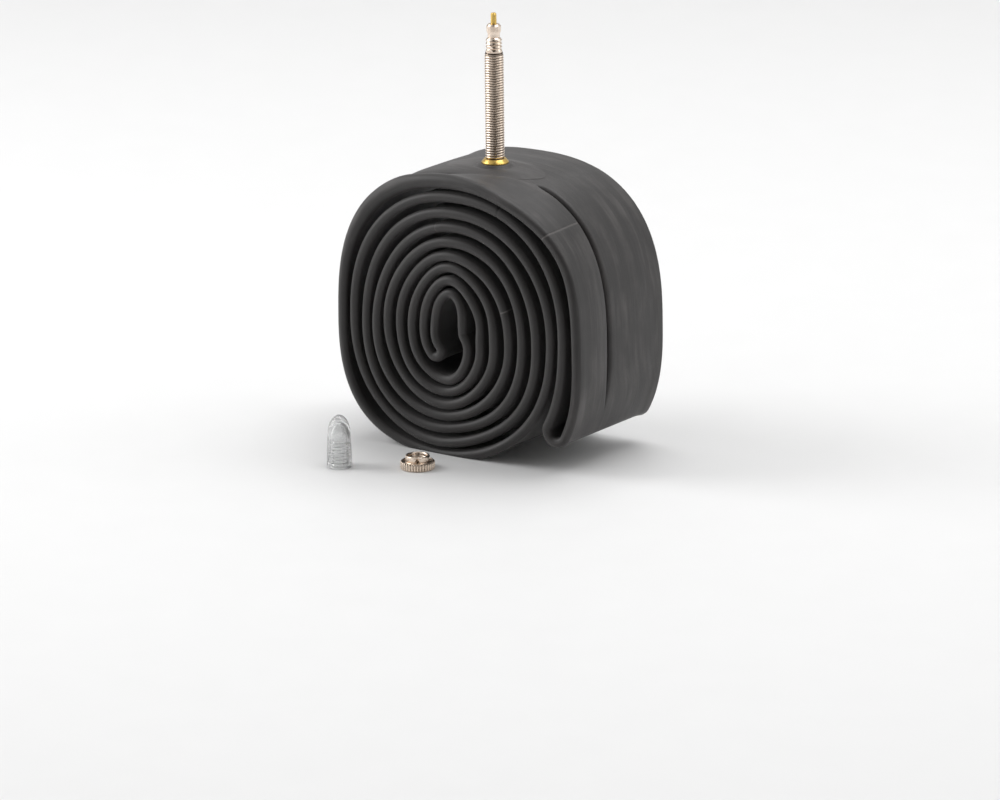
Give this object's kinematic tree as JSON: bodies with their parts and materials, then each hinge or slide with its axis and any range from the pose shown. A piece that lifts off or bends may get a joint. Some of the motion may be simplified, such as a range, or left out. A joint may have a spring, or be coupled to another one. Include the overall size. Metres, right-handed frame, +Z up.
{
  "type": "inner tube",
  "caption": "Rolled-up bicycle inner tube with a slim threaded valve standing on top, its removable core, and its loose rim nut and dust cap.",
  "frame": {"origin": "on the surface that the roll rests on, straight below the valve's axis", "axes": "+Z up along the valve's axis, -Y out of the roll's front face, where its coils show, +X to the right"},
  "size_m": [0.0906, 0.0796, 0.1369],
  "materials": {
    "tube_rubber": "matt butyl rubber with a soft sheen and pale dusty streaks",
    "patch_rubber": "matt moulded rubber, smoother than the tube",
    "stem_nickel": "warm nickel plate over brass, bright",
    "collar_brass": "bare brass, satin",
    "core_nickel": "warm nickel plate over brass, bright",
    "gasket_rubber": "soft black sealing rubber",
    "pin_brass": "bare brass, satin, slightly dulled",
    "seal_rubber": "soft black sealing rubber",
    "cup_brass": "bare brass, satin",
    "thumb_nickel": "warm nickel plate over brass, knurled",
    "rim_nut_nickel": "warm nickel plate over brass, knurled",
    "cap_plastic": "translucent milky plastic, slightly glossy"
  },
  "bodies": {
    "tube": {"tube_body": "tube_rubber", "valve_patch": "patch_rubber", "valve_stem": "stem_nickel", "stem_collar": "collar_brass"},
    "valve_core": {"core_body": "core_nickel", "core_gasket": "gasket_rubber"},
    "valve_pin": {"core_pin": "pin_brass", "plunger_seal": "seal_rubber", "seal_cup": "cup_brass"},
    "thumb_nut": {"thumb_nut": "thumb_nickel"},
    "rim_nut": {"rim_nut": "rim_nut_nickel"},
    "dust_cap": {"dust_cap": "cap_plastic"}
  },
  "joints": [
    {"name": "core_unscrew", "type": "slide", "parent": "tube", "child": "valve_core", "axis": [0, 0, 1], "range_m": [0, 0.022]},
    {"name": "pin_press", "type": "slide", "parent": "valve_core", "child": "valve_pin", "axis": [0, 0, 1], "range_m": [-0.0025, 0]},
    {"name": "thumb_nut_unscrew", "type": "slide", "parent": "valve_core", "child": "thumb_nut", "axis": [0, 0, 1], "range_m": [0, 0.003]},
    {"name": "rim_nut_lift", "type": "slide", "parent": "tube", "child": "rim_nut", "axis": [0, 0, 1], "range_m": [0, 0.02]},
    {"name": "dust_cap_lift", "type": "slide", "parent": "tube", "child": "dust_cap", "axis": [0, 0, 1], "range_m": [0, 0.013]}
  ]
}
